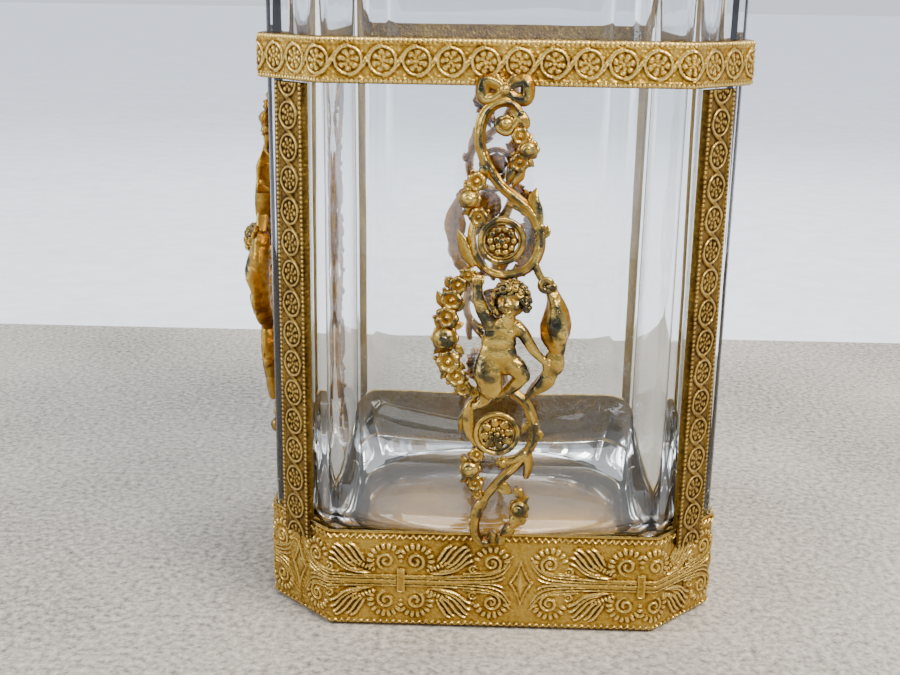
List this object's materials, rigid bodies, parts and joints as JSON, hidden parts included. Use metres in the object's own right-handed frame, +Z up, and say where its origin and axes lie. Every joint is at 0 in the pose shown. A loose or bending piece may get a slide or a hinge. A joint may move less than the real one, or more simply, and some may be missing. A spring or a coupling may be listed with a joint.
{
  "type": "glass trinket box with gilt mounts",
  "caption": "Tall chamfered square glass box in a gilt brass cage of pan, straps, band and bowed pierced cherub mounts, with a hinged lid.",
  "frame": {"origin": "middle of the underside of the pan, on the surface the box stands on", "axes": "+Z up; -Y is the front, where the thumb piece is; +Y is the rear, where the hinge is; +X is the viewer's right seen from the front"},
  "size_m": [0.0847, 0.091, 0.1204],
  "materials": {
    "gilt_brass": "stamped and cast brass, gilded, with dark patina in the recesses",
    "bright_plate": "pale bright plate with small tarnish spots",
    "clear_glass": "clear, thick, fire-polished"
  },
  "bodies": {
    "case": {"base_pan": "gilt_brass", "floor_plate": "bright_plate", "glass_body": "clear_glass", "middle_band": "gilt_brass", "corner_strap_front_left": "gilt_brass", "corner_strap_front_right": "gilt_brass", "corner_strap_rear_left": "gilt_brass", "corner_strap_rear_right": "gilt_brass", "cherub_mount_front": "gilt_brass", "cherub_mount_rear": "gilt_brass", "cherub_mount_left": "gilt_brass", "rim_collar": "gilt_brass", "hinge_leaf_body": "gilt_brass", "hinge_pin": "gilt_brass"},
    "lid": {"hinge_leaf_lid": "gilt_brass", "lid_frame": "gilt_brass", "lid_glass": "clear_glass", "lid_retainer": "gilt_brass", "thumb_piece": "gilt_brass"}
  },
  "joints": [
    {"name": "lid_hinge", "type": "hinge", "parent": "case", "child": "lid", "pos_m": [0, 0.0412, 0.11485], "axis": [-1, 0, 0], "range_deg": [0, 100]}
  ]
}
